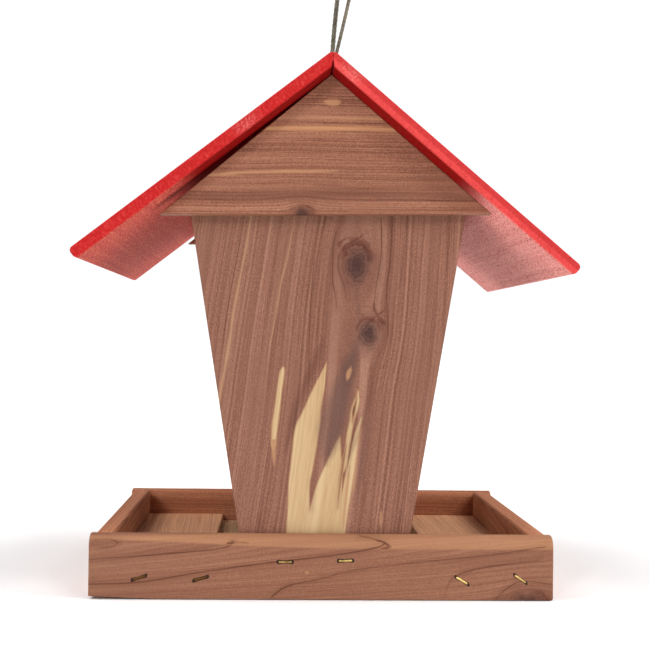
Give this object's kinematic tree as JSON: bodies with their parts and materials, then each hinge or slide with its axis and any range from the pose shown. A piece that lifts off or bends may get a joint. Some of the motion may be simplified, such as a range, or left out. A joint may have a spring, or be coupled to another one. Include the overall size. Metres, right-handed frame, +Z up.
{
  "type": "hanging hopper bird feeder",
  "caption": "Wooden hopper bird feeder with clear sides, an open seed tray and a red gable roof that slides up its hanging cable.",
  "frame": {"origin": "on the ground, below the middle of the roof's outline", "axes": "+Z up, -Y to the front gable, +X to the right seen from the front; the ridge runs along Y"},
  "size_m": [0.3354, 0.343, 0.5619],
  "materials": {
    "cedar": "planed and unfinished, reddish brown",
    "red_paint": "board with satin red paint",
    "clear_pane": "clear acrylic",
    "screen_wire": "dull grey wire",
    "cable_steel": "stranded, grey with an olive tint",
    "ferrule_aluminium": "plain",
    "staple_brass": "coated, dull gold"
  },
  "bodies": {
    "feeder": {"tray_front_board": "cedar", "tray_rear_board": "cedar", "tray_left_board": "cedar", "tray_right_board": "cedar", "floor_board_left": "cedar", "floor_board_right": "cedar", "drain_screen": "screen_wire", "end_panel_front": "cedar", "end_panel_rear": "cedar", "window_left": "clear_pane", "window_right": "clear_pane", "hanger_cable": "cable_steel", "cable_ferrule_front": "ferrule_aluminium", "cable_ferrule_rear": "ferrule_aluminium", "tray_front_staples": "staple_brass", "tray_rear_staples": "staple_brass", "tray_left_staples": "staple_brass", "tray_right_staples": "staple_brass"},
    "roof": {"roof_panel_left": "red_paint", "roof_panel_right": "red_paint", "gable_front": "cedar", "gable_rear": "cedar", "roof_left_staples": "staple_brass", "roof_right_staples": "staple_brass"}
  },
  "joints": [
    {"name": "roof_lift", "type": "slide", "parent": "feeder", "child": "roof", "axis": [0, 0, 1], "range_m": [0, 0.11], "deforming": ["hanger_cable"]}
  ]
}
